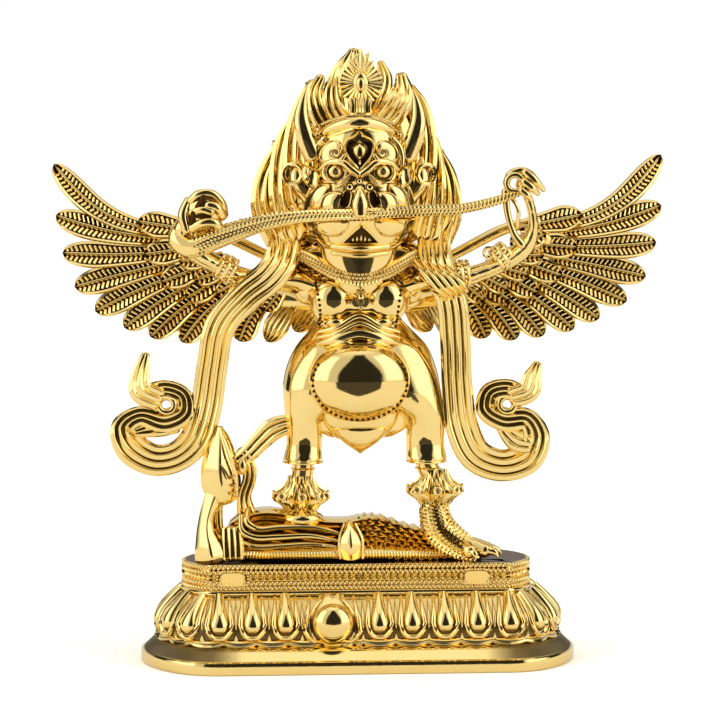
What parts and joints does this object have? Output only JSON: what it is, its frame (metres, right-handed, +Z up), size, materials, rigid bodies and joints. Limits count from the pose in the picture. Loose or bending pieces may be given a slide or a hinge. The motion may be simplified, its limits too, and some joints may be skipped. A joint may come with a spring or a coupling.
{
  "type": "garuda figure",
  "caption": "Gilt cast garuda with spread wings biting a serpent, ribbon scarves at both sides, standing on a lotus plinth.",
  "frame": {"origin": "centre of the plinth's flat underside", "axes": "+Z up, the figure faces -Y, its wings spread along X"},
  "size_m": [0.1998, 0.0682, 0.2002],
  "materials": {
    "gilt": "mirror-polished gilding, darker in the recesses"
  },
  "bodies": {
    "root": {"garuda_figure": "gilt", "lotus_plinth": "gilt"}
  },
  "joints": []
}
